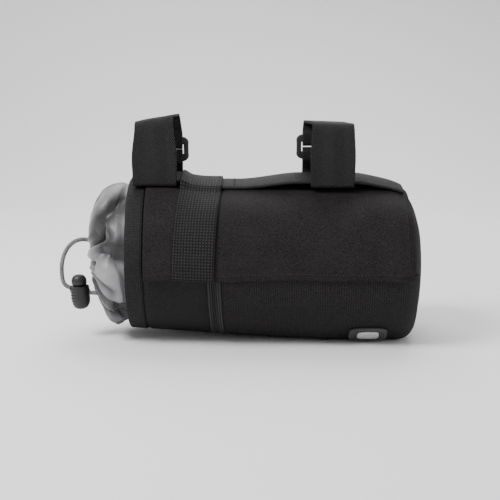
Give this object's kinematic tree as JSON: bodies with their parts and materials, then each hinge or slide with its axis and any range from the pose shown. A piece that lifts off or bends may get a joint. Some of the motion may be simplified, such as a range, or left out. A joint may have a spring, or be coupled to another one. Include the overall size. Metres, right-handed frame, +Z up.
{
  "type": "handlebar bag",
  "caption": "Padded cloth barrel bag with a gathered drawstring collar, webbing loops for a handlebar, a front flap and a mesh pocket",
  "frame": {"origin": "on the surface the bag lies on, under the middle of its bounding box without the hanging cord and its lock", "axes": "+X along the barrel towards its closed end, the gathered mouth at -X; -Y is the front with the flap and the mesh pocket; +Z up"},
  "size_m": [0.3052, 0.1407, 0.1887],
  "materials": {
    "barrel_cloth": "matte coated nylon",
    "flap_cloth": "matte fine weave",
    "webbing": "woven nylon",
    "pocket_mesh": "coarse ribbed mesh",
    "elastic": "ribbed elastic",
    "collar_cloth": "satin ripstop",
    "cord": "braided",
    "plastic": "moulded",
    "button_plastic": "moulded",
    "rubber": "moulded",
    "reflective": "reflective film"
  },
  "bodies": {
    "bag": {"body_shell": "barrel_cloth", "rim_binding": "webbing", "collar": "collar_cloth", "collar_hem": "collar_cloth", "front_flap": "flap_cloth", "mesh_pocket": "pocket_mesh", "pocket_edge_tape": "elastic", "top_band": "webbing", "closure_strap": "webbing", "bar_strap_left": "webbing", "bar_strap_right": "webbing", "strap_ring_left": "plastic", "strap_ring_right": "plastic", "drawcord": "cord", "cord_lock_barrel": "plastic", "rubber_patch": "rubber", "patch_inset": "reflective"},
    "lock_button": {"cord_lock_button": "button_plastic"}
  },
  "joints": [
    {"name": "lock_press", "type": "slide", "parent": "bag", "child": "lock_button", "axis": [0.0697, -0.0025, -0.9976], "range_m": [0, 0.0025], "stiffness_N_per_m": 450}
  ]
}
